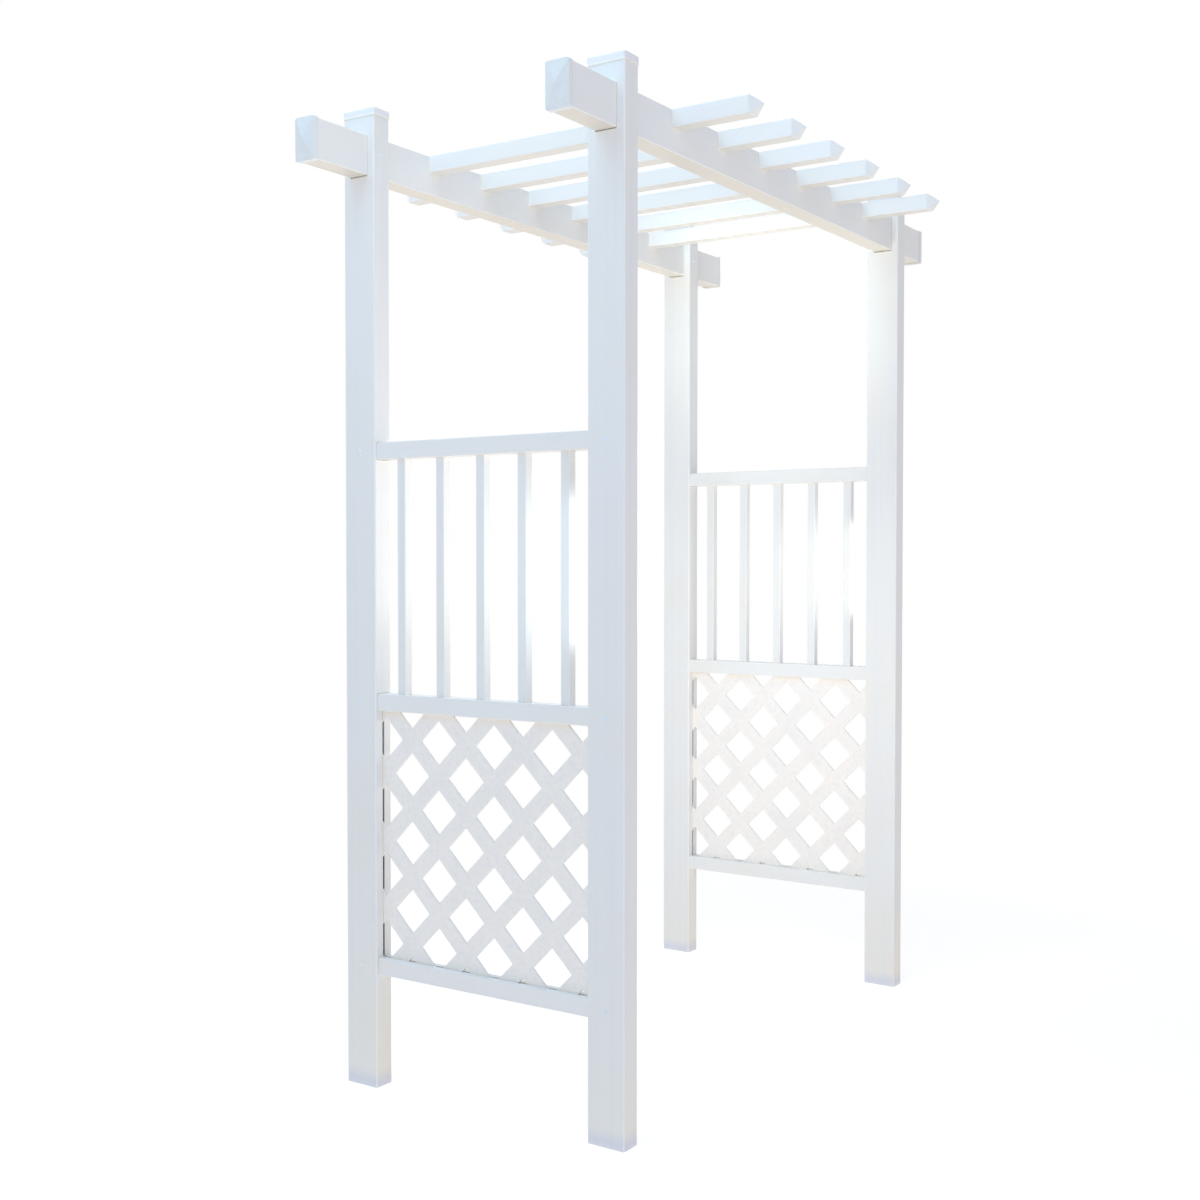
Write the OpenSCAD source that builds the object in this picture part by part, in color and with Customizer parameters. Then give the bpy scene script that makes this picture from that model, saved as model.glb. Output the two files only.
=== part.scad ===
// Garden arbor of hollow white vinyl profiles. Two side panels stand either side of a walkway,
// two beams run across it through the posts, and slats lie in notches across the beams.
// X runs across the walkway, Y along it, Z up. The origin is on the ground, in the middle.
// "Near" and "far" are the panels at -X and +X, "right" and "left" are the sides at -Y and +Y.

/* [Arbor] */
// Clear width of the walkway, between the posts of the two side panels
walkway_w = 1334; // [900:1:1800]
// Clear width of a side panel, between its two posts
panel_w = 568; // [420:1:900]
// Height from the ground to the top of the post caps
overall_h = 2181; // [1950:1:2500]

/* [Posts] */
// Width of a post across the walkway
post_x = 50.8; // [48.5:0.1:76]
// Width of a post along the walkway
post_y = 88.9; // [80:0.1:120]
// Wall of a post
post_wall = 2.4; // [1.8:0.1:3.5]
// Radius of a post's outer edges
post_r = 4; // [2.5:0.1:5.5]

/* [Post caps] */
// Height of a post cap
post_cap_h = 17.3; // [12:0.1:30]
// Wall of a post cap's skirt
post_cap_wall = 1.5; // [1:0.1:3]
// Thickness of a post cap's top
post_cap_top = 3.4; // [2.6:0.1:6]
// Radius of the round along a post cap's top edge
post_cap_round = 3; // [0.5:0.1:3.6]

/* [Beams] */
// Width of a beam
beam_w = 50.8; // [40:0.1:60]
// Height of a beam
beam_h = 88.9; // [75:0.1:130]
// Wall of a beam
beam_wall = 2.2; // [1.6:0.1:3.5]
// Radius of a beam's edges
beam_r = 3; // [2.5:0.1:6]
// Depth of a beam's top below the top of the post caps
beam_drop = 58.5; // [35:0.1:150]
// Length that a beam stands out past a post, up to the base of its end cap's point
beam_overhang = 167; // [60:1:300]

/* [Beam end caps] */
// Length of an end cap's skirt along the beam
beam_cap_skirt = 14; // [8:0.1:30]
// Wall of an end cap
beam_cap_wall = 1.8; // [1.2:0.1:3]
// Height of an end cap's shallow four-sided point
beam_cap_point = 8; // [4:0.1:20]
// Width of the blunt tip of an end cap
beam_cap_tip = 1; // [0.4:0.1:4]

/* [Slats] */
// Number of slats
slat_count = 6; // [3:1:7]
// Side of a slat's square section
slat_side = 38.1; // [30:0.1:44]
// Wall of a slat
slat_wall = 2; // [1.4:0.1:3]
// Radius of a slat's edges
slat_r = 2.2; // [1:0.1:4]
// Length that a slat stands out past a beam, up to the base of its cap's point
slat_overhang = 180; // [60:1:300]
// Distance from a post's centre line to the nearest slat's
slat_end = 205; // [90:1:260]

/* [Slat caps] */
// Length of a slat cap's point
slat_cap_point = 25.5; // [8:0.1:40]
// Width of the blunt tip of a slat cap
slat_cap_tip = 1.6; // [0.5:0.1:4]
// Length of the straight rim between a slat and the point
slat_cap_rim = 2.5; // [1:0.1:8]
// Length of a slat cap's plug inside the slat
slat_cap_plug = 14; // [8:0.1:30]
// Wall of a slat cap
slat_cap_wall = 1.6; // [1:0.1:2.5]

/* [Rails] */
// Side of a rail's square section
rail_side = 38.1; // [34:0.1:41]
// Wall of a rail
rail_wall = 2; // [1.4:0.1:3]
// Radius of a rail's edges
rail_r = 2.2; // [1:0.1:4]
// Height of the top rail's upper face
top_rail_z = 1443; // [1200:1:1700]
// Height of the middle rail's upper face
mid_rail_z = 885; // [650:1:1000]
// Height of the low rail's upper face
low_rail_z = 292.5; // [120:0.5:400]
// Length of a rail's end past the screw that holds it
rail_past_screw = 17.5; // [10:0.1:25]

/* [Balusters] */
// Number of balusters in a side panel
baluster_count = 5; // [3:1:7]
// Side of a baluster's square section
baluster_side = 22.2; // [16:0.1:28]
// Wall of a baluster
baluster_wall = 1.6; // [1.2:0.1:2.5]
// Radius of a baluster's edges
baluster_r = 1.6; // [1:0.1:3]
// Clear gap between a post and the nearest baluster
baluster_end_gap = 53; // [20:0.5:90]
// Depth to which a baluster enters a rail
baluster_entry = 15; // [8:0.5:20]

/* [Lattice] */
// Thickness of the lattice
lattice_t = 5; // [3:0.1:8]
// Width of a lattice strip
strip_w = 38.1; // [25:0.1:50]
// Distance between diamonds in a row
diamond_pitch = 151.6; // [110:0.1:190]
// Bevel along a strip's edges
strip_bevel = 0.9; // [0.3:0.1:1.4]
// Depth to which the lattice enters the posts and rails
lattice_entry = 15; // [11:0.5:18]
// Plain margin round the lattice, which holds its strips together inside the slots
lattice_margin = 8; // [4:0.5:9]
// Place of the pattern: from the panel's middle to a diamond's centre
pattern_y = 46.9; // [-75:0.1:75]
// Place of the pattern: from the low rail's upper face up to a diamond's centre
pattern_z = 112.4; // [0:0.1:150]

/* [Screws] */
// Diameter of a screw's domed head
screw_head_d = 9; // [6:0.1:12]
// Height of a screw's domed head
screw_head_h = 2.8; // [1.5:0.1:4]
// Diameter of a screw's shank
screw_d = 4; // [3:0.1:5]
// Length of a screw's pointed tip
screw_tip = 5; // [2:0.1:7]
// Length of a screw inside the rail or beam that it holds
screw_bite = 14; // [10:0.5:25]

/* [Fits] */
// Gap round a piece in a routed hole
hole_gap = 0.5; // [0.3:0.05:0.9]
// Extra height of a beam's hole in a post, which leaves a wider gap under the beam
beam_hole_room = 1.2; // [0:0.1:3]
// Gap on each side of a slat in its notch
notch_gap = 0.2; // [0.1:0.05:0.6]
// Gap between a cap and the tube that it fits
cap_gap = 0.3; // [0.2:0.05:0.5]
// Gap on each side of the lattice in its slot
slot_gap = 0.7; // [0.4:0.05:0.9]
// Gap round a screw's shank
screw_gap = 0.25; // [0.15:0.05:0.4]

/* [Hidden] */
$fn = 48;
// Length by which a cut runs past the face that it opens
over = 1;
// Turn from one flat of a rounded top edge to the next, in degrees
round_step = 30;

vinyl = [0.96, 0.96, 0.97];
moulded_vinyl = [0.93, 0.94, 0.96];
screw_steel = [0.8, 0.8, 0.8];

// Names of the two panels and the two sides, each with the sign of its place
PANELS = [["near", -1], ["far", 1]];
SIDES = [["right", -1], ["left", 1]];

// Centre lines of the posts, and the tops and middles of what they carry
post_dx = (walkway_w + post_x) / 2;
post_dy = (panel_w + post_y) / 2;
post_tube_h = overall_h - post_cap_top;
beam_top = overall_h - beam_drop;
beam_z = beam_top - beam_h / 2;
beam_end_x = post_dx + post_x / 2 + beam_overhang;
beam_hole_h = beam_h + 2 * hole_gap + beam_hole_room;
slat_z = beam_top - slat_side / 2;
slat_end_y = post_dy + beam_w / 2 + slat_overhang;
slat_tube_end_y = slat_end_y - slat_cap_rim;
slat_pitch = 2 * (post_dx - slat_end) / (slat_count - 1);

// Rails, from the top down: the name and the height of the upper face
RAILS = [["top", top_rail_z], ["mid", mid_rail_z], ["low", low_rail_z]];
rail_end_y = post_dy + rail_past_screw;

// Balusters, from the middle rail to the top rail
baluster_first_y = panel_w / 2 - baluster_end_gap - baluster_side / 2;
baluster_pitch = 2 * baluster_first_y / (baluster_count - 1);
baluster_low = mid_rail_z - baluster_entry;
baluster_high = top_rail_z - rail_side + baluster_entry;

// Lattice, from the low rail to the middle rail and from post to post
lattice_w = panel_w + 2 * lattice_entry;
lattice_low = low_rail_z - lattice_entry;
lattice_high = mid_rail_z - rail_side + lattice_entry;
slot_w = lattice_t + 2 * slot_gap;
diamond_side = diamond_pitch / sqrt(2) - strip_w;
// Columns and rows lie half a pitch apart, and there are enough to cover the sheet
diamond_step = diamond_pitch / 2;
diamond_cols = ceil((lattice_w / 2 + abs(pattern_y)) / diamond_step) + 1;
diamond_rows_below = ceil((pattern_z + lattice_entry) / diamond_step) + 1;
diamond_rows_above = ceil((lattice_high - low_rail_z - pattern_z) / diamond_step) + 1;

// Screws: how far each runs in from the post's face
rail_screw_l = (post_x - rail_side) / 2 + rail_wall + screw_bite;
beam_screw_l = (post_y - beam_w) / 2 + beam_wall + screw_bite;
screw_bore_d = screw_d + 2 * screw_gap;
screw_point_d = screw_d / 4;

// Radius of a profile's inner corners, which are nearly sharp where its wall is thick
function inner_r(r, wall) = max(r - wall, wall / 3);

function slat_x(i) = -post_dx + slat_end + (i - 1) * slat_pitch;
function baluster_y(i) = -baluster_first_y + (i - 1) * baluster_pitch;

// Round of radius r that leads from an upright face at x to a flat top at h
function top_round(x, h, r) = [
    for (a = [0:round_step:90]) [x - r + r * cos(a), h - r + r * sin(a)]
];

// Outline of a slab from the side, w wide and h high, with a round of radius r at both top corners
function eased_side(w, h, r) =
    let (side = concat([[w / 2, 0]], top_round(w / 2, h, r)))
    concat(side, [for (i = [len(side) - 1:-1:0]) [-side[i][0], side[i][1]]]);

// Outline of a pointed cap from the side: straight for the skirt, then drawn in to the tip
function gable(w, skirt, point, tip) = [
    [-w / 2, -skirt], [w / 2, -skirt], [w / 2, 0],
    [tip / 2, point], [-tip / 2, point], [-w / 2, 0]
];

// Rectangle with round corners
module rounded_rect(x, y, r) {
    square([x - 2 * r, y], center = true);
    square([x, y - 2 * r], center = true);
    for (sx = [-1, 1], sy = [-1, 1])
        translate([sx * (x / 2 - r), sy * (y / 2 - r)])
            circle(r = r);
}

// Section of a hollow profile
module profile(x, y, r, wall) {
    difference() {
        rounded_rect(x, y, r);
        rounded_rect(x - 2 * wall, y - 2 * wall, inner_r(r, wall));
    }
}

// Hole or tube along X, whose section is z high and y wide
module along_x(length) {
    rotate([0, 90, 0])
        linear_extrude(length, center = true)
            children();
}

// Hole or tube along Y, whose section is x wide and z high
module along_y(length) {
    rotate([90, 0, 0])
        linear_extrude(length, center = true)
            children();
}

// Round bore for a screw along Z, through a wall centred on the origin
module screw_bore(wall) {
    cylinder(d = screw_bore_d, h = 2 * (wall + over), center = true);
}

// Slab whose upright edges have radius r and whose top edge has radius top_r
module eased_slab(x, y, h, r, top_r) {
    for (sx = [-1, 1], sy = [-1, 1])
        translate([sx * (x / 2 - r), sy * (y / 2 - r), 0])
            rotate_extrude()
                polygon(concat([[0, 0], [r, 0]], top_round(r, h, top_r), [[0, h]]));
    along_y(y - 2 * r) polygon(eased_side(x, h, top_r));
    rotate([0, 0, 90]) along_y(x - 2 * r) polygon(eased_side(y, h, top_r));
}

// Straight skirt below the origin with a four-sided point above it
module pointed_block(x, y, r, skirt, point, tip) {
    intersection() {
        translate([0, 0, -skirt]) linear_extrude(skirt + point) rounded_rect(x, y, r);
        along_y(y) polygon(gable(x, skirt, point, tip));
        rotate([0, 0, 90]) along_y(x) polygon(gable(y, skirt, point, tip));
    }
}

// Pointed block made hollow from below, with an opening x_in by y_in and the given wall
module pointed_shell(x, y, r, skirt, point, tip, wall, x_in, y_in, r_in) {
    run = (min(x, y) - tip) / 2;
    drop = wall * norm([run, point]) / run;
    difference() {
        pointed_block(x, y, r, skirt, point, tip);
        intersection() {
            translate([0, 0, -drop]) pointed_block(x, y, r, skirt, point, tip);
            translate([0, 0, -skirt - over])
                linear_extrude(skirt + over + point) rounded_rect(x_in, y_in, r_in);
        }
    }
}

module post(sx, sy) {
    color(vinyl)
    translate([sx * post_dx, sy * post_dy, 0])
    difference() {
        linear_extrude(post_tube_h) profile(post_x, post_y, post_r, post_wall);
        // The beam goes right through, from one walkway face to the other
        translate([0, 0, beam_z - beam_hole_room / 2]) along_x(post_x + 2 * over)
            rounded_rect(beam_hole_h, beam_w + 2 * hole_gap, beam_r + hole_gap);
        translate([0, -sy * post_y / 2, 0]) {
            for (r = RAILS)
                translate([0, 0, r[1] - rail_side / 2]) along_y(2 * (post_wall + over))
                    rounded_rect(rail_side + 2 * hole_gap, rail_side + 2 * hole_gap, rail_r + hole_gap);
            // The lattice's slot runs from the low rail's hole to the middle rail's
            translate([-slot_w / 2, -post_wall - over, low_rail_z - rail_side / 2])
                cube([slot_w, 2 * (post_wall + over), mid_rail_z - low_rail_z]);
            translate([0, 0, beam_z]) rotate([90, 0, 0]) screw_bore(post_wall);
        }
        for (r = RAILS)
            translate([sx * post_x / 2, 0, r[1] - rail_side / 2])
                rotate([0, 90, 0]) screw_bore(post_wall);
    }
}

module post_cap(sx, sy) {
    grow = 2 * (cap_gap + post_cap_wall);
    color(moulded_vinyl)
    translate([sx * post_dx, sy * post_dy, overall_h - post_cap_h])
    difference() {
        eased_slab(post_x + grow, post_y + grow, post_cap_h, post_r + grow / 2, post_cap_round);
        translate([0, 0, -over]) linear_extrude(post_cap_h - post_cap_top + over)
            rounded_rect(post_x + 2 * cap_gap, post_y + 2 * cap_gap, post_r + cap_gap);
    }
}

module beam(sy) {
    color(vinyl)
    translate([0, sy * post_dy, 0])
    difference() {
        translate([0, 0, beam_z]) along_x(2 * (beam_end_x - beam_cap_wall))
            profile(beam_h, beam_w, beam_r, beam_wall);
        for (i = [1:slat_count])
            translate([slat_x(i), 0, slat_z]) along_y(beam_w + 2 * over) slat_notch();
        for (sx = [-1, 1])
            translate([sx * post_dx, -sy * beam_w / 2, beam_z])
                rotate([90, 0, 0]) screw_bore(beam_wall);
    }
}

// Notch for a slat: its floor and round lower corners are the slat's own, and it is open above
module slat_notch() {
    w = slat_side + 2 * notch_gap;
    rounded_rect(w, slat_side, slat_r);
    translate([-w / 2, 0]) square([w, slat_side / 2 + over]);
}

module beam_cap(sx, sy) {
    grow = 2 * (cap_gap + beam_cap_wall);
    w = beam_w + grow;
    h = beam_h + grow;
    color(moulded_vinyl)
    translate([sx * beam_end_x, sy * post_dy, beam_z])
    rotate([0, sx * 90, 0])
    difference() {
        pointed_shell(
            h, w, beam_r + grow / 2, beam_cap_skirt, beam_cap_point, beam_cap_tip, beam_cap_wall,
            beam_h - 2 * beam_wall, beam_w - 2 * beam_wall, inner_r(beam_r, beam_wall)
        );
        translate([0, 0, -beam_cap_skirt - over])
            linear_extrude(beam_cap_skirt + over - beam_cap_wall)
                rounded_rect(beam_h + 2 * cap_gap, beam_w + 2 * cap_gap, beam_r + cap_gap);
    }
}

module slat(i) {
    color(vinyl)
    translate([slat_x(i), 0, slat_z]) along_y(2 * slat_tube_end_y)
        profile(slat_side, slat_side, slat_r, slat_wall);
}

module slat_cap(sy, i) {
    plug = slat_side - 2 * (slat_wall + cap_gap);
    bore = plug - 2 * slat_cap_wall;
    plug_r = inner_r(slat_r, slat_wall);
    depth = slat_cap_rim + slat_cap_plug;
    color(moulded_vinyl)
    translate([slat_x(i), sy * slat_end_y, slat_z])
    rotate([-sy * 90, 0, 0]) {
        pointed_shell(
            slat_side, slat_side, slat_r, slat_cap_rim, slat_cap_point, slat_cap_tip,
            slat_cap_wall, bore, bore, plug_r
        );
        translate([0, 0, -depth]) linear_extrude(depth) difference() {
            rounded_rect(plug, plug, plug_r);
            rounded_rect(bore, bore, plug_r);
        }
    }
}

// Tube of a rail with its two screw bores, in the middle of which the children cut
module rail(sx, top_z) {
    color(vinyl)
    translate([sx * post_dx, 0, top_z - rail_side / 2])
    difference() {
        along_y(2 * rail_end_y) profile(rail_side, rail_side, rail_r, rail_wall);
        for (sy = [-1, 1])
            translate([sx * rail_side / 2, sy * post_dy, 0]) rotate([0, 90, 0]) screw_bore(rail_wall);
        children();
    }
}

// Cuts for the balusters in a rail's upper (1) or lower (-1) face
module baluster_holes(face) {
    side = baluster_side + 2 * hole_gap;
    for (i = [1:baluster_count])
        translate([0, baluster_y(i), face * rail_side / 2])
            linear_extrude(2 * (rail_wall + over), center = true)
                rounded_rect(side, side, baluster_r + hole_gap);
}

// Cut for the lattice's edge in a rail's upper (1) or lower (-1) face
module lattice_slot(face) {
    translate([0, 0, face * rail_side / 2])
        cube([slot_w, lattice_w + 2 * slot_gap, 2 * (rail_wall + over)], center = true);
}

module top_rail(sx) {
    rail(sx, top_rail_z) baluster_holes(-1);
}

module mid_rail(sx) {
    rail(sx, mid_rail_z) {
        baluster_holes(1);
        lattice_slot(-1);
    }
}

module low_rail(sx) {
    rail(sx, low_rail_z) lattice_slot(1);
}

module baluster(sx, i) {
    color(vinyl)
    translate([sx * post_dx, baluster_y(i), baluster_low])
        linear_extrude(baluster_high - baluster_low)
            profile(baluster_side, baluster_side, baluster_r, baluster_wall);
}

// One diamond opening, square on to its strips and bevelled at both faces of the sheet
module diamond() {
    half = diamond_side / 2;
    neck = lattice_t / 2 - strip_bevel;
    face = lattice_t / 2 + over;
    wide = half + face - neck;
    waisted = [
        [-face, wide], [-neck, half], [neck, half], [face, wide],
        [face, -wide], [neck, -half], [-neck, -half], [-face, -wide]
    ];
    rotate([45, 0, 0])
    intersection() {
        linear_extrude(2 * wide, center = true) polygon(waisted);
        along_y(2 * wide) polygon(waisted);
    }
}

// Rows of diamonds, each row a step to the side of the one below
module diamonds() {
    for (col = [-diamond_cols:diamond_cols], row = [-diamond_rows_below:diamond_rows_above])
        if ((col + row) % 2 == 0)
            translate([0, pattern_y + col * diamond_step, low_rail_z + pattern_z + row * diamond_step])
                diamond();
}

module lattice(sx) {
    color(moulded_vinyl)
    translate([sx * post_dx, 0, 0])
    difference() {
        translate([-lattice_t / 2, -lattice_w / 2, lattice_low])
            cube([lattice_t, lattice_w, lattice_high - lattice_low]);
        intersection() {
            diamonds();
            translate([-lattice_t, lattice_margin - lattice_w / 2, lattice_low + lattice_margin])
                cube([
                    2 * lattice_t,
                    lattice_w - 2 * lattice_margin,
                    lattice_high - lattice_low - 2 * lattice_margin
                ]);
        }
    }
}

// Screw along Z: its domed head stands on the origin and its shank runs down from it
module screw(length) {
    dome_r = (pow(screw_head_h, 2) + pow(screw_head_d / 2, 2)) / (2 * screw_head_h);
    intersection() {
        translate([0, 0, screw_head_h - dome_r]) sphere(r = dome_r);
        cylinder(d = screw_head_d + over, h = screw_head_h + over);
    }
    translate([0, 0, screw_tip - length])
        cylinder(d = screw_d, h = length - screw_tip + screw_head_h / 2);
    translate([0, 0, -length]) cylinder(d1 = screw_point_d, d2 = screw_d, h = screw_tip);
}

module rail_screws() {
    color(screw_steel)
    for (sx = [-1, 1], sy = [-1, 1], r = RAILS)
        translate([sx * (post_dx + post_x / 2), sy * post_dy, r[1] - rail_side / 2])
            rotate([0, sx * 90, 0]) screw(rail_screw_l);
}

module beam_screws() {
    color(screw_steel)
    for (sx = [-1, 1], sy = [-1, 1])
        translate([sx * post_dx, sy * (post_dy - post_y / 2), beam_z])
            rotate([sy * 90, 0, 0]) screw(beam_screw_l);
}

for (p = PANELS, s = SIDES) {
    post(p[1], s[1]);
    post_cap(p[1], s[1]);
    beam_cap(p[1], s[1]);
}
for (s = SIDES) {
    beam(s[1]);
}
for (i = [1:slat_count]) {
    slat(i);
}
for (s = SIDES, i = [1:slat_count]) {
    slat_cap(s[1], i);
}
for (p = PANELS) {
    top_rail(p[1]);
    mid_rail(p[1]);
    low_rail(p[1]);
    lattice(p[1]);
}
for (p = PANELS, i = [1:baluster_count]) {
    baluster(p[1], i);
}
rail_screws();
beam_screws();
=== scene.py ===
"""Finishes, screws, floor, lamps and camera for a garden arbor of white vinyl profiles.

The packed model gives every post, cap, beam, slat, rail, baluster and lattice sheet with its exact
shape. This script dresses them in extruded, moulded and sheet vinyl, makes the screws with round
heads, and sets up the stage. X runs across the walkway, Y along it and Z up. The near panel stands
at -X. Lengths are in metres.
"""

import math

import bpy
import numpy as np
from bpy.props import FloatProperty, FloatVectorProperty, PointerProperty
from bpy.types import Operator, Panel, PropertyGroup
from mathutils import Matrix, Vector


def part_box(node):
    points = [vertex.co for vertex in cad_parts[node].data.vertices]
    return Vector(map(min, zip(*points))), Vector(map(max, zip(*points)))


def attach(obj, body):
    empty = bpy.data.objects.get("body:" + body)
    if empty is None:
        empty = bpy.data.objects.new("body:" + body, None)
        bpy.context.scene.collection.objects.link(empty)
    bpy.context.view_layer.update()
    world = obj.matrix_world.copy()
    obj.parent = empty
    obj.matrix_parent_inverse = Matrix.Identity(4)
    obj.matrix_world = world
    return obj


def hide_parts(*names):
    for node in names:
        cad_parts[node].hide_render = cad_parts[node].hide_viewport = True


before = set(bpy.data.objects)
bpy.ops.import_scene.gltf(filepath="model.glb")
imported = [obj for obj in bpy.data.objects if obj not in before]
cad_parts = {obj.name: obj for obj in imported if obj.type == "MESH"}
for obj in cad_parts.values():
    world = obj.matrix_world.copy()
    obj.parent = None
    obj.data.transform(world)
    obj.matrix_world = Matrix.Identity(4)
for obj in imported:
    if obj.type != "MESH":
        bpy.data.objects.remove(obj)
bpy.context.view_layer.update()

bl_info = {
    "name": "Vinyl Arbor",
    "version": (1, 0, 0),
    "blender": (4, 5, 0),
    "location": "3D View > Sidebar > Arbor",
    "description": "Finishes a garden arbor of white vinyl profiles and lights it",
    "category": "Object",
}

BODY = "root"

# Names in the CAD nodes, with the side of the origin on X or Y that each means
PANELS = (("near", -1), ("far", 1))
SIDES = (("right", -1), ("left", 1))
RAILS = ("top", "mid", "low")

# Directions in which a profile was extruded, as factors on the fineness of a pattern: the small one
# draws it out lengthwise
DRAWN = 0.012
ALONG_X = (DRAWN, 1, 1)
ALONG_Y = (1, DRAWN, 1)
ALONG_Z = (1, 1, DRAWN)

WHITE = (1, 1, 1)

# Widths of the patterns that have no setting
PATCH_WIDTH = 0.21
SPECKLE_WIDTH = 0.0045
FLOW_WIDTH = 0.03
SINK_WIDTH = 0.035
CLOUD_WIDTH = 0.12
SHEET_PEEL_WIDTH = 0.0024
CUTTER_RIDGE_WIDTH = 0.0007
CHIP_WIDTH = 0.0009
PAINT_PEEL_WIDTH = 0.0012
FLOOR_GRAIN_WIDTH = 0.02

# Depths of the bumps that have no setting
SINK_DEPTH = 0.0004
CUTTER_RIDGE_DEPTH = 0.0002
PAINT_PEEL_DEPTH = 0.00004

# Ranges over which something comes in, from not at all to fully: by the height of a noise, by the
# depth of a joint, or by a component of the surface's normal
PATCHY = (0.42, 0.72)
STREAKY = (0.42, 0.7)
LINED = (0.55, 0.8)
FLOWING = (0.45, 0.8)
MOTTLED = (0.42, 0.8)
CLOUDY = (0.45, 0.8)
CHIPPED = (0.34, 0.5)
IN_JOINT = (0.1, 0.6)
IN_SHEET_JOINT = (0.1, 0.5)
GRAINY = (0.3, 0.7)
FACING_UP = (0.5, 0.95)
FACING_DOWN = (-0.5, -0.95)
TURNED_EDGE = (0.995, 0.8)
CAP_SKIRT = (0.8, 0.5)
CUTTER_EDGE = (0.95, 0.5)

# Ranges of the same kind, each with the shares between which it runs
SPECKLED = (0.2, 0.75, 0.6, 1.0)
GROUND_BOUNCE_PATCHES = (0.2, 0.8, 0.5, 1.0)
GROUND_BOUNCE_SIDES = (0.9, 0.5, 0.35, 1.0)

# Shares of a colour at its fullest
TOP_SKY_LIGHT_SHARE = 0.8
EDGE_HIGHLIGHT_SHARE = 0.8
GROUND_BOUNCE_SHARE = 0.8
MOTTLE_SHARE = 0.7
CLOUD_SHARE = 0.5

# A post's foot: the height from which painted shade comes in downwards, its share at the ground,
# and the height and share of the darker painted shadow line
FOOT_SHADE_TOP = 0.045
FOOT_SHADE_SHARE = 0.6
FOOT_SHADOW_LINE = (0.006, 0.003)
FOOT_SHADOW_LINE_SHARE = 0.5

# Share of the height of a post cap's lip up to which it has its full colour
LIP_FADE = 0.6

# Roughness that each feature adds or takes, and how far a skin's smoothest spots start below its
# setting
PATCH_ROUGHNESS = 0.1
LINE_ROUGHNESS = 0.07
EDGE_POLISH = 0.06
FLOW_ROUGHNESS = 0.1
MOTTLE_ROUGHNESS = 0.12
CUT_ROUGHNESS = 0.2
VINYL_SMOOTHER = 0.05
CAP_SMOOTHER = 0.04
SHEET_SMOOTHER = 0.05

# Gloss of plastic and paint, and roughness of the screws' paint and metal
PLASTIC_IOR = 1.5
VINYL_SPECULAR = 0.2
PAINT_ROUGHNESS = 0.26
METAL_ROUGHNESS = 0.45

# Rays that look for a joint near each point
JOINT_SAMPLES = 8

# Mesh of a screw: points round it, rings of its head and where the first one lies, and rows per
# turn of thread with the fewest in all
AROUND = 64
HEAD_RINGS = 30
FIRST_RING = 0.02
ROWS_PER_PITCH = 6
FEWEST_ROWS = 8

# Shape of a screw: width of a drive slot's edge, share of a slot's arm at full depth, share of the
# radius left at the point, and the turn in radians from one screw's drive to the next one's
SLOT_EDGE = 0.0002
ARM_FULL = 0.35
POINT_SHARE = 0.06
DRIVE_TURN = 2.39996

# Floor: how far it lies under the feet, so that no two faces share a plane, its grain's share, its
# grey to the camera, and the distances from the origin over which it turns plain white
FLOOR_DROP = 0.0005
FLOOR_GRAIN_SHARE = 0.04
FLOOR_GREY = (0.8, 0.8, 0.8)
FLOOR_ROUGHNESS = 0.6
FLOOR_ENDS = (1.1, 2.2)

# Camera: width of its frame in millimetres, and how far it sees
FRAME_WIDTH = 36
SIGHT = 200

# Lamps: name, place, what it faces, width, and the angle of its cone in degrees
LAMPS = (
    ("key", (-3.6, 0.6, 4.2), (-0.7, 0, 1.5), 2.5, 180),
    ("sky", (-3.2, 2.8, 3.8), (-0.3, 0, 1.6), 2.5, 180),
    ("front", (-4.6, -3.2, 2.4), (0, 0, 1.1), 3, 180),
    ("side", (-0.8, -4.4, 1.8), (0, 0, 1.3), 2.5, 180),
    ("left", (0.2, 4.4, 2.6), (0, 0, 1.2), 2.5, 180),
    ("walk", (-1.0, 0, 3.3), (0.4, 0, 1.3), 1.2, 180),
    ("inner", (-0.3, -0.25, 0.95), (0.7, 0.15, 0.85), 0.9, 120),
    ("panel", (0.1, -0.25, 1.25), (-0.69, 0.15, 1.25), 0.5, 110),
    ("bay", (-0.66, -0.27, 1.16), (-0.66, 0.33, 1.16), 0.3, 120),
    ("far_bay", (0.66, -0.27, 1.16), (0.66, 0.33, 1.16), 0.25, 100),
    ("top", (-0.3, -0.1, 1.5), (0.69, 0, 1.94), 0.4, 50),
)


# Settings


def colour_setting(name, description, default):
    """A colour that the user sets, in linear light."""
    return FloatVectorProperty(
        name=name, description=description, default=default, subtype="COLOR", min=0, max=1
    )


def length_setting(name, description, default, top):
    """A length that the user sets, from nothing to top."""
    return FloatProperty(
        name=name,
        description=description,
        default=default,
        min=0,
        max=top,
        unit="LENGTH",
        subtype="DISTANCE",
        precision=5,
    )


def share_setting(name, description, default):
    """A share that the user sets, from 0 to 1."""
    return FloatProperty(
        name=name, description=description, default=default, min=0, max=1, subtype="FACTOR"
    )


def power_setting(name, description, default):
    """A lamp's power that the user sets, in watts."""
    return FloatProperty(
        name=name, description=description, default=default, min=0, max=900, unit="POWER"
    )


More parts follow.
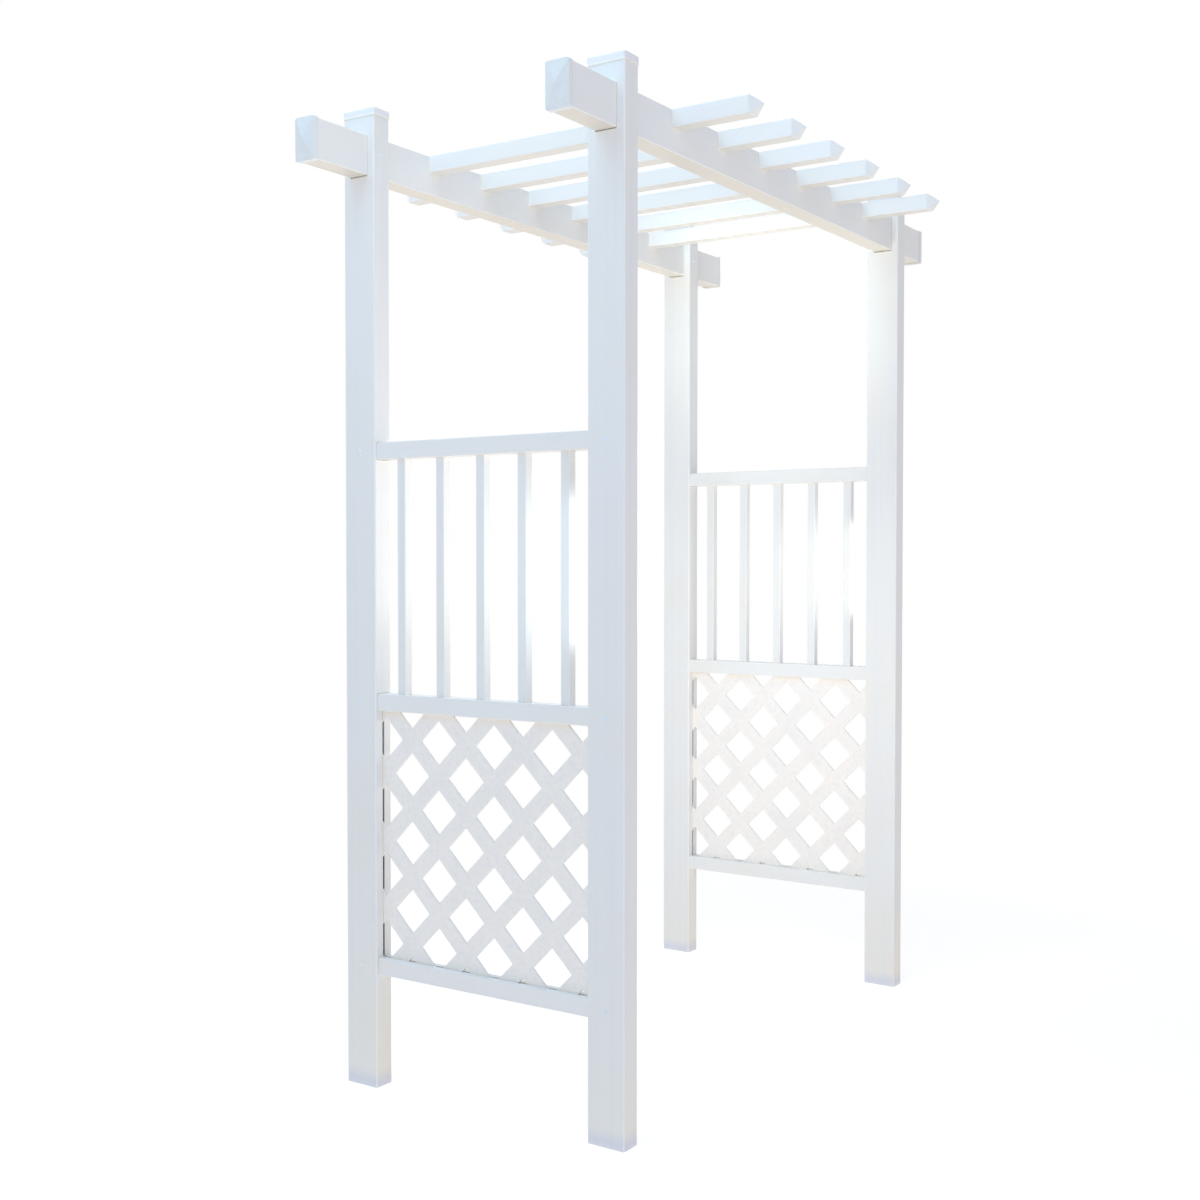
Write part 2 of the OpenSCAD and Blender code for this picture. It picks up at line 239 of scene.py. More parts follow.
class ArborVinyl(PropertyGroup):
    """Look of the extruded profiles."""

    colour: colour_setting("Colour", "Colour of clean extruded vinyl", (0.86, 0.865, 0.87))
    warm: colour_setting("Warm patches", "Colour of its faint warm patches", (0.86, 0.85, 0.825))
    streak: colour_setting("Streaks", "Colour of its faint long streaks", (0.825, 0.835, 0.86))
    streak_width: length_setting("Streak width", "Width of those streaks", 0.016, 0.05)
    # Painted highlight: the lighter colour given to the round edges
    edge: colour_setting("Edges", "Colour of the polished round edges", (0.95, 0.95, 0.95))
    # Painted shade: the darker, warmer colour of the undersides, standing in for shade and warm
    # bounce light
    under: colour_setting("Undersides", "Colour of the duller undersides", (0.79, 0.74, 0.66))
    # Painted light: the bluish white that the tops take from the sky
    top_sky_light: colour_setting("Tops", "Colour of the sun-bleached tops", (0.94, 0.98, 1))
    # Painted light: warm ground bounce in patches on the posts near the ground, and the height it
    # reaches
    splash: colour_setting(
        "Splashed earth", "Colour of the posts near the ground", (0.93, 0.87, 0.76)
    )
    ground_bounce_reach: length_setting("Splash height", "How high the splashed earth reaches", 0.4, 2)
    # Painted shade: the bluish shadow at a post's foot and its darker line along the ground
    foot_shade: colour_setting("Damp foot", "Colour of the line at a post's foot", (0.62, 0.67, 0.84))
    # Pale dust and painted warm light in the joints: a colour lighter than the vinyl where
    # occlusion finds a joint
    joint_dust_and_light: colour_setting("Dust", "Colour of the pale dust held in joints", (1, 0.96, 0.88))
    joint_dust_and_light_share: share_setting("Share of dust", "How much dust a tight joint holds", 0.7)
    joint_dust_and_light_reach: length_setting("Reach of dust", "How far it reaches from a joint", 0.018, 0.05)
    roughness: share_setting("Roughness", "Roughness of the semi-gloss skin", 0.22)
    line_width: length_setting("Die lines", "Width of the lines left by the die", 0.0028, 0.01)
    line_depth: length_setting("Die line depth", "Depth of those lines", 0.00003, 0.001)
    wave_width: length_setting("Waves", "Width of the wall's slow waves", 0.16, 1)
    wave_depth: length_setting("Wave depth", "Depth of those waves", 0.0009, 0.005)


class ArborMoulded(PropertyGroup):
    """Look of the moulded caps."""

    post_cap: colour_setting("Post caps", "Colour of the post caps", (0.875, 0.87, 0.91))
    # Painted shade: the beam caps' pointed faces take this darker colour, and their skirts the
    # lighter one below
    beam_cap: colour_setting("Beam caps", "Colour of the beam caps", (0.765, 0.79, 0.81))
    beam_cap_skirt: colour_setting(
        "Beam cap skirts", "Colour of the beam caps' skirts", (0.84, 0.85, 0.87)
    )
    slat_cap: colour_setting("Slat caps", "Colour of the slat caps", (0.87, 0.875, 0.88))
    flow: colour_setting("Flow marks", "Colour of the faint flow marks", (0.82, 0.845, 0.865))
    roughness: share_setting("Roughness", "Roughness of the moulded skin", 0.24)
    # Painted light: the paler, warmer colour of the band round a post cap's lip
    lip: colour_setting("Lip", "Colour of the lip round a post cap's skirt", (0.95, 0.92, 0.87))
    lip_height: length_setting("Lip height", "Height of that lip", 0.005, 0.02)
    grain_width: length_setting("Grain", "Width of the mould's fine grain", 0.0011, 0.01)
    grain_depth: length_setting("Grain depth", "Depth of that grain", 0.00002, 0.001)


class ArborSheet(PropertyGroup):
    """Look of the lattice sheets."""

    colour: colour_setting("Colour", "Colour of the lattice sheet", (0.97, 0.928, 0.895))
    mottle: colour_setting("Mottle", "Colour of its fine mottle", (0.87, 0.86, 0.865))
    # Pale dust and painted warm light, held in the joints under the rails
    dust_and_light: colour_setting("Dust", "Colour of the dust held under a rail", (1, 0.95, 0.84))
    # The cut edges' darker colour is their own tone and painted shade in the openings
    cut: colour_setting("Cut edges", "Colour of the cutter's edges", (0.9, 0.89, 0.87))
    roughness: share_setting("Roughness", "Roughness of the sheet's skin", 0.46)
    mottle_width: length_setting("Mottle width", "Width of the mottle", 0.011, 0.1)
    skin_depth: length_setting("Skin depth", "Depth of the skin's orange peel", 0.00006, 0.001)


class ArborScrew(PropertyGroup):
    """Sizes and look of the screws."""

    # Painted sky light: the white paint has a blue tint, so the heads look lit from the sky
    colour: colour_setting("Colour", "Colour of the white painted heads", (0.8, 0.9, 1))
    bare: colour_setting("Bare metal", "Colour of the metal where paint is gone", (0.5, 0.49, 0.47))
    head_d: length_setting("Head diameter", "Diameter of a round head", 0.009, 0.012)
    head_h: length_setting("Head height", "Height of a round head", 0.0028, 0.004)
    shank_d: length_setting("Shank diameter", "Diameter of a shank over its thread", 0.004, 0.005)
    thread_pitch: length_setting("Thread pitch", "Distance between turns of thread", 0.0016, 0.004)
    thread_depth: length_setting("Thread depth", "Depth of the thread", 0.0006, 0.001)
    point: length_setting("Point", "Length of the tapered point", 0.005, 0.007)
    rail_length: length_setting("Rail screw", "Length of a rail screw's shank", 0.02235, 0.04)
    beam_length: length_setting("Beam screw", "Length of a beam screw's shank", 0.03525, 0.06)
    slot_length: length_setting("Drive length", "Length of an arm-to-arm drive slot", 0.0044, 0.008)
    slot_width: length_setting("Drive width", "Width of a drive slot", 0.0008, 0.003)
    slot_depth: length_setting("Drive depth", "Depth of the drive at its middle", 0.0008, 0.0025)


class ArborStage(PropertyGroup):
    """Floor, lamps and camera."""

    floor_colour: colour_setting("Floor", "Colour of the floor", (0.84, 0.79, 0.69))
    floor_size: length_setting("Floor size", "Width of the floor", 60, 200)
    floor_white: share_setting("Floor white", "White that the camera adds to the floor", 0.56)
    bounce_colour: colour_setting("Bounce", "Colour of the floor's own light", (1, 0.97, 0.975))
    bounce_power: share_setting("Bounce strength", "Strength of that light", 0.475)
    world_colour: colour_setting("Surround", "Colour of the light from all round", (0.9, 0.92, 1))
    world_power: share_setting("Surround strength", "Strength of that light", 0.4)
    key_colour: colour_setting("Key lamp", "Colour of the high near lamp", (0.39, 0.715, 1))
    key_power: power_setting("Key power", "Power of the high near lamp", 25.69)
    sky_colour: colour_setting("Sky lamp", "Colour of the high lamp at the left", (0.576, 0.82, 1))
    sky_power: power_setting("Sky power", "Power of the high lamp at the left", 18.3)
    front_colour: colour_setting("Front lamp", "Colour of the lamp by the camera", (0.54, 0.73, 1))
    front_power: power_setting("Front power", "Power of the lamp by the camera", 35.88)
    side_colour: colour_setting("Side lamp", "Colour of the lamp at the right", (0.83, 0.85, 1))
    side_power: power_setting("Side power", "Power of the lamp at the right", 15.81)
    left_colour: colour_setting("Left lamp", "Colour of the lamp at the left", (1, 0.81, 0.63))
    left_power: power_setting("Left power", "Power of the lamp at the left", 20.28)
    walk_colour: colour_setting(
        "Walkway lamp", "Colour of the lamp over the walkway", (0.71, 0.91, 1)
    )
    walk_power: power_setting("Walkway power", "Power of the lamp over the walkway", 11.34)
    inner_colour: colour_setting(
        "Inner lamp", "Colour of the lamp on the far panel", (0.98, 0.91, 0.78)
    )
    inner_power: power_setting("Inner power", "Power of the lamp on the far panel", 1.5)
    panel_colour: colour_setting(
        "Panel lamp", "Colour of the lamp on the near panel", (1, 0.92, 0.8)
    )
    panel_power: power_setting("Panel power", "Power of the lamp on the near panel", 1.6)
    bay_colour: colour_setting("Bay lamp", "Colour of the lamp in the near bay", (0.85, 1, 0.97))
    bay_power: power_setting("Bay power", "Power of the lamp in the near bay", 0.21)
    far_bay_colour: colour_setting(
        "Far bay lamp", "Colour of the lamp in the far bay", (0.98, 1, 0.87)
    )
    far_bay_power: power_setting("Far bay power", "Power of the lamp in the far bay", 0.17)
    top_colour: colour_setting(
        "Top lamp", "Colour of the lamp on the far posts' tops", (0.97, 1, 0.87)
    )
    top_power: power_setting("Top power", "Power of the lamp on the far posts' tops", 0.66)
    camera_place: FloatVectorProperty(
        name="Camera",
        description="Place of the camera",
        default=(-3.18887, -1.95548, 1.17948),
        subtype="TRANSLATION",
        unit="LENGTH",
    )
    camera_heading: FloatProperty(
        name="Heading",
        description="Turn of the view from +Y towards +X",
        default=0.98472,
        unit="ROTATION",
        subtype="ANGLE",
    )
    camera_pitch: FloatProperty(
        name="Pitch",
        description="Tilt of the view above the horizon",
        default=-0.02594,
        unit="ROTATION",
        subtype="ANGLE",
    )
    camera_roll: FloatProperty(
        name="Roll",
        description="Roll of the view about its own line",
        default=0.0003,
        unit="ROTATION",
        subtype="ANGLE",
    )
    camera_lens: FloatProperty(
        name="Lens", description="Focal length on a 36 mm frame", default=44.564, unit="CAMERA"
    )


SETTINGS = (
    ("arbor_vinyl", ArborVinyl),
    ("arbor_moulded", ArborMoulded),
    ("arbor_sheet", ArborSheet),
    ("arbor_screw", ArborScrew),
    ("arbor_stage", ArborStage),
)


# Materials


class Shader:
    """A material's node graph, with short calls for its nodes.

    A value or colour in these calls is a number, a tuple or another node's socket.
    """

    def __init__(self, name):
        self.material = bpy.data.materials.new(name)
        self.material.use_nodes = True
        self.tree = self.material.node_tree
        self.tree.nodes.clear()
        self.output = self.tree.nodes.new("ShaderNodeOutputMaterial")
        self.place = self.tree.nodes.new("ShaderNodeTexCoord")

    def node(self, kind, inputs, **settings):
        """A node with these settings and inputs, each a value or another node's socket."""
        made = self.tree.nodes.new(kind)
        for key, value in settings.items():
            setattr(made, key, value)
        for key, value in inputs.items():
            if isinstance(value, bpy.types.NodeSocket):
                self.tree.links.new(value, made.inputs[key])
            elif isinstance(value, tuple) and len(value) == 3 and made.inputs[key].type == "RGBA":
                made.inputs[key].default_value = (*value, 1)
            else:
                made.inputs[key].default_value = value
        return made

    def noise(self, width, stretch=(1, 1, 1), detail=2, roughness=0.5):
        """Noise from 0 to 1 in object space, its features that wide and drawn out by stretch."""
        scale = tuple(k / width for k in stretch)
        mapping = self.node(
            "ShaderNodeMapping", {"Vector": self.place.outputs["Object"], "Scale": scale}
        )
        inputs = {
            "Vector": mapping.outputs["Vector"],
            "Scale": 1,
            "Detail": detail,
            "Roughness": roughness,
        }
        return self.node("ShaderNodeTexNoise", inputs).outputs["Fac"]

    def math(self, operation, first, second=0.0, clamp=False):
        """The result of an arithmetic node."""
        inputs = {0: first, 1: second}
        return self.node("ShaderNodeMath", inputs, operation=operation, use_clamp=clamp).outputs[0]

    def spread(self, value, low, high, bottom=0.0, top=1.0):
        """Value from low to high spread over bottom to top, with smooth ends."""
        inputs = {
            "Value": value,
            "From Min": low,
            "From Max": high,
            "To Min": bottom,
            "To Max": top,
        }
        node = self.node("ShaderNodeMapRange", inputs, interpolation_type="SMOOTHSTEP")
        return node.outputs["Result"]

    def mix(self, share, first, second):
        """Blend of two colours."""
        return self.node(
            "ShaderNodeMix", {0: share, 6: first, 7: second}, data_type="RGBA"
        ).outputs[2]

    def bump(self, height, depth, below=None):
        """Normal of a surface raised by height times depth, over an earlier normal."""
        inputs = {"Height": height, "Distance": depth, "Strength": 1.0}
        if below is not None:
            inputs["Normal"] = below
        return self.node("ShaderNodeBump", inputs).outputs["Normal"]

    def part(self, kind, axis):
        """One component of the surface's object coordinates or object normal."""
        split = self.node("ShaderNodeSeparateXYZ", {"Vector": self.place.outputs[kind]})
        return split.outputs[axis]

    def edges(self):
        """1 on a round edge, where the surface turns away from all three axes, and 0 on a face."""
        sizes = [self.math("ABSOLUTE", self.part("Normal", axis)) for axis in "XYZ"]
        largest = self.math("MAXIMUM", self.math("MAXIMUM", sizes[0], sizes[1]), sizes[2])
        return self.spread(largest, *TURNED_EDGE)

    def crevices(self, reach):
        """1 deep in a joint and 0 in the open, within reach."""
        node = self.node(
            "ShaderNodeAmbientOcclusion",
            {"Distance": reach},
            samples=JOINT_SAMPLES,
            only_local=False,
        )
        return self.math("SUBTRACT", 1.0, node.outputs["AO"], clamp=True)

    def plastic(self, colour, roughness, normal):
        """Finishes the material as a plastic with a clear skin."""
        inputs = {
            "Base Color": colour,
            "Roughness": roughness,
            "Normal": normal,
            "IOR": PLASTIC_IOR,
            "Specular IOR Level": VINYL_SPECULAR,
        }
        skin = self.node("ShaderNodeBsdfPrincipled", inputs)
        self.tree.links.new(skin.outputs["BSDF"], self.output.inputs["Surface"])
        return self.material


def extruded_vinyl(name, stretch, streaked=0.3, lit_white_share=0.0, shaded=0.4, standing=False):
    """Semi-gloss vinyl with die lines, slow waves and streaks along its length, and dusty joints
    with painted warm light in them.

    Streaked, lit_white_share and shaded are the shares of its streaks, of plain white, which makes
    a lighter copy of the vinyl as painted light, and of the darker, warmer painted shade on its
    undersides. Its tops take a bluish painted sky light. A standing piece has painted warm ground
    bounce near the ground, most on the faces that don't look along X, and painted shade at its foot
    with a darker painted shadow line.
    """
    look = bpy.context.scene.arbor_vinyl
    s = Shader(name)
    lines = s.noise(look.line_width, stretch, detail=3, roughness=0.6)
    waves = s.noise(look.wave_width, tuple(math.sqrt(k) for k in stretch), detail=1)
    patches = s.noise(PATCH_WIDTH, detail=3)
    speckle = s.noise(SPECKLE_WIDTH)
    edges = s.edges()
    joint_dust_and_light = s.crevices(look.joint_dust_and_light_reach)
    streaks = s.noise(look.streak_width, stretch, detail=4, roughness=0.7)
    colour = s.mix(s.spread(patches, *PATCHY), tuple(look.colour), tuple(look.warm))
    colour = s.mix(s.spread(streaks, *STREAKY, 0.0, streaked), colour, tuple(look.streak))
    # Plain white mixed in makes a lighter copy of the vinyl: painted light
    colour = s.mix(lit_white_share, colour, WHITE)
    up = s.part("Normal", "Z")
    # Undersides turn darker and warmer: painted shade with warm bounce light
    colour = s.mix(s.spread(up, *FACING_DOWN, 0.0, shaded), colour, tuple(look.under))
    # Tops turn bluish white: painted sky light
    colour = s.mix(s.spread(up, *FACING_UP, 0.0, TOP_SKY_LIGHT_SHARE), colour, tuple(look.top_sky_light))
    if standing:
        height = s.part("Object", "Z")
        # Near the ground the posts turn warmer in patches: painted warm ground bounce, most on
        # faces not looking along X
        splash = s.math(
            "MULTIPLY",
            s.spread(height, look.ground_bounce_reach, 0.0, 0.0, GROUND_BOUNCE_SHARE),
            s.spread(patches, *GROUND_BOUNCE_PATCHES),
        )
        side = s.spread(s.math("ABSOLUTE", s.part("Normal", "X")), *GROUND_BOUNCE_SIDES)
        colour = s.mix(s.math("MULTIPLY", splash, side), colour, tuple(look.splash))
        # Towards the ground a post darkens to blue: painted shade at its foot
        foot_shade = s.spread(height, FOOT_SHADE_TOP, 0.0, 0.0, FOOT_SHADE_SHARE)
        colour = s.mix(foot_shade, colour, tuple(look.foot_shade))
        # A darker band just above the ground: a painted shadow line
        line = s.spread(height, *FOOT_SHADOW_LINE, 0.0, FOOT_SHADOW_LINE_SHARE)
        colour = s.mix(line, colour, tuple(look.foot_shade))
    # Round edges turn lighter: a painted highlight. Their lower roughness is real polish.
    colour = s.mix(s.math("MULTIPLY", edges, EDGE_HIGHLIGHT_SHARE), colour, tuple(look.edge))
    # Joints take a lighter colour in speckles: pale dust and painted warm light, where occlusion
    # finds them
    joint_dust_and_light_mask = s.math("MULTIPLY", s.spread(joint_dust_and_light, *IN_JOINT), s.spread(speckle, *SPECKLED))
    colour = s.mix(s.math("MULTIPLY", joint_dust_and_light_mask, look.joint_dust_and_light_share), colour, tuple(look.joint_dust_and_light))
    dull = s.math("MULTIPLY", patches, PATCH_ROUGHNESS)
    roughness = s.math("ADD", look.roughness - VINYL_SMOOTHER, dull)
    ribbed = s.math("MULTIPLY", s.spread(lines, *LINED), LINE_ROUGHNESS)
    roughness = s.math("ADD", roughness, ribbed)
    polished = s.math("MULTIPLY", edges, EDGE_POLISH)
    roughness = s.math("SUBTRACT", roughness, polished, clamp=True)
    normal = s.bump(waves, look.wave_depth)
    normal = s.bump(lines, look.line_depth, normal)
    return s.plastic(colour, roughness, normal)


def moulded_vinyl(name, base, skirt=None, lip=None):
    """Glossier vinyl with a fine mould grain and faint flow marks.

    A beam cap has a skirt of its own lighter colour, while its pointed faces keep a darker colour
    that is painted shade. A post cap has a paler lip, which starts at height lip and is painted
    warm light.
    Joints are dusty with painted warm light.
    """
    look = bpy.context.scene.arbor_moulded
    vinyl_look = bpy.context.scene.arbor_vinyl
    s = Shader(name)
    flow = s.noise(FLOW_WIDTH, detail=3, roughness=0.6)
    grain = s.noise(look.grain_width)
    sink = s.noise(SINK_WIDTH, detail=0)
    joint_dust_and_light = s.crevices(vinyl_look.joint_dust_and_light_reach)
    colour = tuple(base)
    # A beam cap's skirt takes the lighter colour and its pointed faces keep the darker base:
    # painted shade
    if skirt is not None:
        along = s.spread(s.math("ABSOLUTE", s.part("Normal", "X")), *CAP_SKIRT)
        colour = s.mix(along, colour, tuple(skirt))
    colour = s.mix(s.spread(flow, *FLOWING), colour, tuple(look.flow))
    # Joints take a lighter colour: pale dust and painted warm light, where occlusion finds them
    share = s.math("MULTIPLY", s.spread(joint_dust_and_light, *IN_JOINT), vinyl_look.joint_dust_and_light_share)
    colour = s.mix(share, colour, tuple(vinyl_look.joint_dust_and_light))
    # A post cap's lip band is paler: painted warm light
    if lip is not None:
        height = s.part("Object", "Z")
        rim = s.spread(height, lip + look.lip_height, lip + LIP_FADE * look.lip_height)
        colour = s.mix(rim, colour, tuple(look.lip))
    dull = s.math("MULTIPLY", flow, FLOW_ROUGHNESS)
    roughness = s.math("ADD", look.roughness - CAP_SMOOTHER, dull, clamp=True)
    normal = s.bump(sink, SINK_DEPTH)
    normal = s.bump(grain, look.grain_depth, normal)
    return s.plastic(colour, roughness, normal)


def lattice_sheet(name):
    """Mottled sheet with an orange peel skin, and duller, ridged edges where the cutter ran.

    The cut edges are darker, as their own tone and as painted shade in the openings, and the
    joints under the rails are dusty with painted warm light.
    """
    look = bpy.context.scene.arbor_sheet
    vinyl_look = bpy.context.scene.arbor_vinyl
    s = Shader(name)
    mottle = s.noise(look.mottle_width)
    clouds = s.noise(CLOUD_WIDTH)
    peel = s.noise(SHEET_PEEL_WIDTH)
    ridges = s.noise(CUTTER_RIDGE_WIDTH, ALONG_X, detail=1)
    cut = s.spread(s.math("ABSOLUTE", s.part("Normal", "X")), *CUTTER_EDGE)
    joint_dust_and_light = s.crevices(vinyl_look.joint_dust_and_light_reach)
    spots = s.spread(mottle, *MOTTLED, 0.0, MOTTLE_SHARE)
    colour = s.mix(spots, tuple(look.colour), tuple(look.mottle))
    colour = s.mix(s.spread(clouds, *CLOUDY, 0.0, CLOUD_SHARE), colour, tuple(look.mottle))
    # Cut edges turn darker: their own tone, and painted shade in the diamond openings
    colour = s.mix(cut, colour, tuple(look.cut))
    # Joints under the rails take a lighter colour: pale dust and painted warm light, where
    # occlusion finds them
    share = s.math("MULTIPLY", s.spread(joint_dust_and_light, *IN_SHEET_JOINT), vinyl_look.joint_dust_and_light_share)
    colour = s.mix(share, colour, tuple(look.dust_and_light))
    dull = s.math("MULTIPLY", mottle, MOTTLE_ROUGHNESS)
    roughness = s.math("ADD", look.roughness - SHEET_SMOOTHER, dull)
    rough_cut = s.math("MULTIPLY", cut, CUT_ROUGHNESS)
    roughness = s.math("ADD", roughness, rough_cut, clamp=True)
    normal = s.bump(peel, look.skin_depth)
    normal = s.bump(s.math("MULTIPLY", ridges, cut), CUTTER_RIDGE_DEPTH, normal)
    return s.plastic(colour, roughness, normal)


def painted_screw(name):
    """White paint on a screw, tinted blue as painted sky light, chipped to bare metal on its
    drive's edges.
    """
    look = bpy.context.scene.arbor_screw
    s = Shader(name)
    wear = s.node("ShaderNodeAttribute", {}, attribute_name="wear").outputs["Fac"]
    chips = s.noise(CHIP_WIDTH, detail=3, roughness=0.7)
    bare = s.spread(s.math("MULTIPLY", wear, chips), *CHIPPED)
    peel = s.noise(PAINT_PEEL_WIDTH)
    colour = s.mix(bare, tuple(look.colour), tuple(look.bare))
    inputs = {
        "Base Color": colour,
        "Metallic": bare,
        "Roughness": s.spread(bare, 0.0, 1.0, PAINT_ROUGHNESS, METAL_ROUGHNESS),
        "Normal": s.bump(peel, PAINT_PEEL_DEPTH),
        "IOR": PLASTIC_IOR,
    }
    skin = s.node("ShaderNodeBsdfPrincipled", inputs)
    s.tree.links.new(skin.outputs["BSDF"], s.output.inputs["Surface"])
    return s.material


def dress(nodes, material):
    """Gives the CAD nodes that material in each of their own slots."""
    for name in nodes:
        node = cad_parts[name]
        for slot in node.material_slots:
            slot.material = material


# Screws


def grid_faces(rows, columns, start):
    """Quads of a grid closed round its columns, its first point numbered start.

    The corners run from (i, j) to (i, j+1), (i+1, j+1) and (i+1, j).
    """
    i, j = np.meshgrid(np.arange(rows - 1), np.arange(columns), indexing="ij")
    following = (j + 1) % columns
    corners = (
        i * columns + j,
        i * columns + following,
        (i + 1) * columns + following,
        (i + 1) * columns + j,
    )
    return start + np.stack(corners, axis=-1).reshape(-1, 4)


def smooth(low, high, value):
    """Goes from 0 at low to 1 at high as 3t^2 - 2t^3."""
    t = np.clip((value - low) / (high - low), 0, 1)
    return t * t * (3 - 2 * t)


def screw_surface(length, look):
    """Points, quads, fans and wear of a screw along Z, its head standing on the origin.

    The head's height at share r of its radius is h (1 - r^2)^0.5. A cross drive sinks into it: each
    slot has full depth within half its width of its line and rises to nothing at its end. The shank
    is a grid of turn and height. Its radius goes evenly up and down once per turn of thread, with
    height / pitch - turn as the phase, and is drawn in to the point. Wear is 1 half-way down the
    sides of the drive and up to 0.5 at the head's rim.
    """
    turn = np.arange(AROUND) * 2 * math.pi / AROUND
    share = np.sin(np.linspace(FIRST_RING, 1, HEAD_RINGS) * math.pi / 2)
    rho, theta = np.meshgrid(share * look.head_d / 2, turn, indexing="ij")
    x, y = rho * np.cos(theta), rho * np.sin(theta)
    dome = look.head_h * (1 - share**2) ** 0.5
    arm_end = look.slot_length / 2
    half = look.slot_width / 2
    drive = np.zeros_like(x)
    for across, along in ((x, y), (y, x)):
        inside = 1 - smooth(half, half + SLOT_EDGE, abs(across))
        reached = 1 - smooth(ARM_FULL * arm_end, arm_end, abs(along))
        drive = np.maximum(drive, inside * reached)
    head = np.stack([x, y, dome[:, None] - look.slot_depth * drive], axis=-1)
    wear = np.clip(4 * drive * (1 - drive) + 0.5 * smooth(0.85, 1, share)[:, None], 0, 1)

    rows = max(FEWEST_ROWS, round(length / look.thread_pitch * ROWS_PER_PITCH))
    height, theta = np.meshgrid(-np.linspace(0, length, rows), turn, indexing="ij")
    phase = (height / look.thread_pitch - theta / (2 * math.pi)) % 1.0
    taper = np.clip((length + height) / look.point, POINT_SHARE, 1)
    ridge = np.abs(2 * phase - 1) * smooth(0, look.thread_pitch, -height)
    radius = (look.shank_d / 2 - look.thread_depth * (1 - ridge)) * taper
    shank = np.stack([radius * np.cos(theta), radius * np.sin(theta), height], axis=-1)

    pole = [[0, 0, look.head_h - look.slot_depth]]
    tip = [[0, 0, -length]]
    points = np.concatenate([pole, head.reshape(-1, 3), shank.reshape(-1, 3), tip])
    rings = HEAD_RINGS + rows
    quads = grid_faces(rings, AROUND, 1)[:, ::-1]
    here = np.arange(AROUND)
    following = (here + 1) % AROUND
    first = np.stack([np.zeros(AROUND, int), 1 + here, 1 + following], axis=-1)
    base = 1 + (rings - 1) * AROUND
    last = np.stack([np.full(AROUND, len(points) - 1), base + following, base + here], axis=-1)
    shown = np.concatenate([[0], wear.ravel(), np.zeros(rows * AROUND + 1)])
    return points, quads, np.concatenate([first, last]), shown


def screw_piece(name, places, length, node):
    """One mesh of a screw at each place, standing in for a CAD node.

    A place is (point, outward direction). The screw is turned so that its head looks that way, and
    its drive is turned by the golden angle from one screw to the next, as if driven by hand.
    """
    look = bpy.context.scene.arbor_screw
    points, quads, fans, wear = screw_surface(length, look)
    vertices, faces, shares = [], [], []
    for index, (point, outward) in enumerate(places):
        turn = Matrix.Rotation(index * DRIVE_TURN, 3, "Z")
        aim = Vector(outward).to_track_quat("Z", "Y").to_matrix()
        start = index * len(points)
        vertices.append(points @ np.array(aim @ turn).T + np.array(point))
        faces += (quads + start).tolist() + (fans + start).tolist()
        shares.append(wear)
    mesh = bpy.data.meshes.new(name)
    mesh.from_pydata(np.concatenate(vertices).tolist(), [], faces)
    mesh.attributes.new("wear", "FLOAT", "POINT").data.foreach_set("value", np.concatenate(shares))
    mesh.polygons.foreach_set("use_smooth", np.ones(len(mesh.polygons), bool))
    mesh.materials.append(painted_screw(name))
    mesh.update()
    piece = bpy.data.objects.new(name, mesh)
    bpy.context.scene.collection.objects.link(piece)
    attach(piece, BODY)
    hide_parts(node)


# Operators


class ARBOR_OT_posts(Operator):
    """Dress the four posts in extruded vinyl"""

    bl_idname = "arbor.posts"
    bl_label = "Posts"

    def execute(self, context):
        names = [f"post_{panel}_{side}" for panel, _ in PANELS for side, _ in SIDES]
        dress(names, extruded_vinyl("post_vinyl", ALONG_Z, 0.7, standing=True))
        return {"FINISHED"}


class ARBOR_OT_post_caps(Operator):
    """Dress the four post caps in moulded vinyl"""

    bl_idname = "arbor.post_caps"
    bl_label = "Post caps"

    def execute(self, context):
        names = [f"post_cap_{panel}_{side}" for panel, _ in PANELS for side, _ in SIDES]
        base = context.scene.arbor_moulded.post_cap
        dress(names, moulded_vinyl("post_cap_vinyl", base, lip=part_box(names[0])[0].z))
        return {"FINISHED"}


class ARBOR_OT_beams(Operator):
    """Dress the two beams in extruded vinyl"""

    bl_idname = "arbor.beams"
    bl_label = "Beams"

    def execute(self, context):
        names = [f"beam_{side}" for side, _ in SIDES]
        # Beams are a lighter copy of the vinyl, painted light, with full painted shade below
        dress(names, extruded_vinyl("beam_vinyl", ALONG_X, lit_white_share=0.2, shaded=1.0))
        return {"FINISHED"}


class ARBOR_OT_beam_caps(Operator):
    """Dress the four beam end caps in moulded vinyl"""

    bl_idname = "arbor.beam_caps"
    bl_label = "Beam end caps"

    def execute(self, context):
        names = [f"beam_cap_{panel}_{side}" for panel, _ in PANELS for side, _ in SIDES]
        look = context.scene.arbor_moulded
        dress(names, moulded_vinyl("beam_cap_vinyl", look.beam_cap, skirt=look.beam_cap_skirt))
        return {"FINISHED"}


class ARBOR_OT_slats(Operator):
    """Dress the slats in extruded vinyl"""

    bl_idname = "arbor.slats"
    bl_label = "Slats"

    def execute(self, context):
        names = [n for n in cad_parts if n.startswith("slat_") and "cap" not in n]
        # Slats are a lighter copy of the vinyl, painted light
        dress(sorted(names), extruded_vinyl("slat_vinyl", ALONG_Y, lit_white_share=0.2, shaded=0.6))
        return {"FINISHED"}


class ARBOR_OT_slat_caps(Operator):
    """Dress the pointed slat caps in moulded vinyl"""

    bl_idname = "arbor.slat_caps"
    bl_label = "Slat caps"

    def execute(self, context):
        names = [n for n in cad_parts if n.startswith("slat_cap_")]
        dress(sorted(names), moulded_vinyl("slat_cap_vinyl", context.scene.arbor_moulded.slat_cap))
        return {"FINISHED"}


